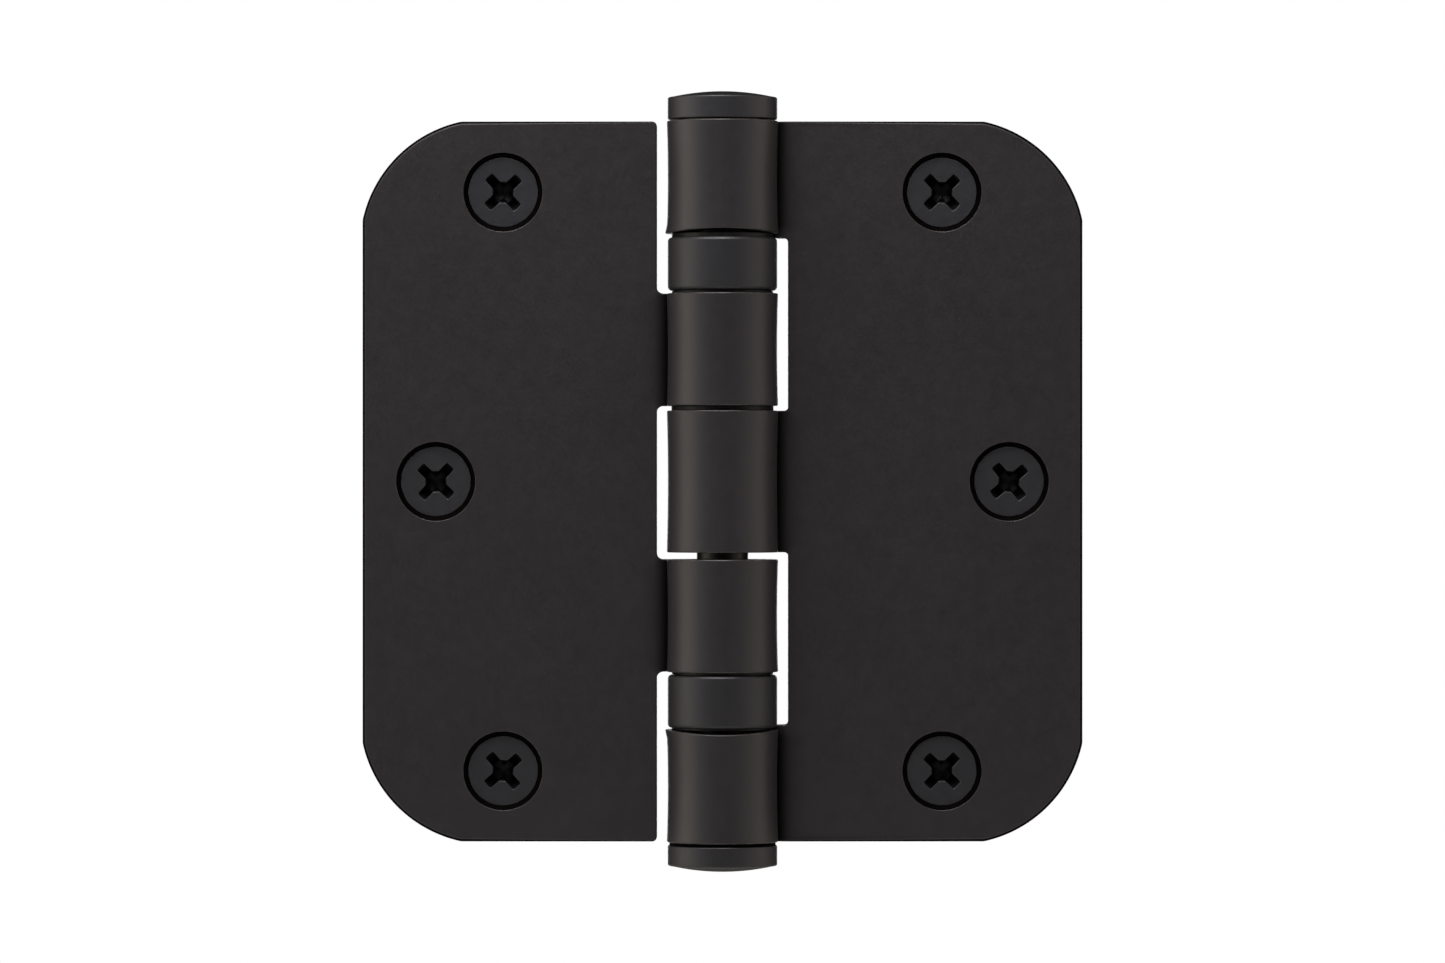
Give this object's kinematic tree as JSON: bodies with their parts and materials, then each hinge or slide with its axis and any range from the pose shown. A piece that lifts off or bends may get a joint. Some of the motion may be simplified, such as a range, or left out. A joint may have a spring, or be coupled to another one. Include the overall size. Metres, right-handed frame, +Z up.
{
  "type": "butt hinge",
  "caption": "Five-knuckle ball-bearing butt hinge with round corners, button tips and countersunk wood screws, lying open flat.",
  "frame": {"origin": "on the pin's axis at half the leaf height", "axes": "+Z up the pin towards the tip that lifts out, +X from the pin across the jamb leaf, +Y out of the leaves' back faces, the way the screws point"},
  "size_m": [0.0888, 0.0337, 0.0962],
  "materials": {
    "black_leaf": "satin black coating, warm in the highlights",
    "black_tip": "satin black coating on turned steel",
    "black_pin": "satin black coating, rubbed where it turns",
    "black_screw": "black oxide, slightly blue, on steel",
    "bearing_steel": "hardened, oil blackened, dull",
    "ball_steel": "polished",
    "cage_brass": "stamped sheet, satin"
  },
  "bodies": {
    "jamb_leaf": {"right_leaf": "black_leaf", "bottom_cap": "black_tip", "middle_washer": "bearing_steel", "upper_bearing_shell": "black_tip", "upper_jamb_race": "bearing_steel", "lower_bearing_shell": "black_tip", "lower_jamb_race": "bearing_steel", "jamb_screw_top": "black_screw", "jamb_screw_middle": "black_screw", "jamb_screw_bottom": "black_screw"},
    "door_leaf": {"left_leaf": "black_leaf", "upper_door_race": "bearing_steel", "lower_door_race": "bearing_steel", "door_screw_top": "black_screw", "door_screw_middle": "black_screw", "door_screw_bottom": "black_screw"},
    "pin": {"hinge_pin": "black_pin", "top_cap": "black_tip"},
    "upper_ball_set": {"upper_ball_cage": "cage_brass", "upper_balls": "ball_steel"},
    "lower_ball_set": {"lower_ball_cage": "cage_brass", "lower_balls": "ball_steel"}
  },
  "joints": [
    {"name": "leaf_fold", "type": "hinge", "parent": "jamb_leaf", "child": "door_leaf", "pos_m": [0, 0, 0], "axis": [0, 0, 1], "range_deg": [-80, 180]},
    {"name": "pin_lift", "type": "slide", "parent": "jamb_leaf", "child": "pin", "axis": [0, 0, 1], "range_m": [0, 0.085]},
    {"name": "upper_balls_roll", "type": "hinge", "parent": "jamb_leaf", "child": "upper_ball_set", "pos_m": [0, 0, 0], "axis": [0, 0, 1], "range_deg": [-40, 90]},
    {"name": "lower_balls_roll", "type": "hinge", "parent": "jamb_leaf", "child": "lower_ball_set", "pos_m": [0, 0, 0], "axis": [0, 0, 1], "range_deg": [-40, 90]}
  ],
  "couplings": [
    {"joint": "upper_balls_roll", "follows": "leaf_fold", "ratio": 0.5},
    {"joint": "lower_balls_roll", "follows": "leaf_fold", "ratio": 0.5}
  ]
}
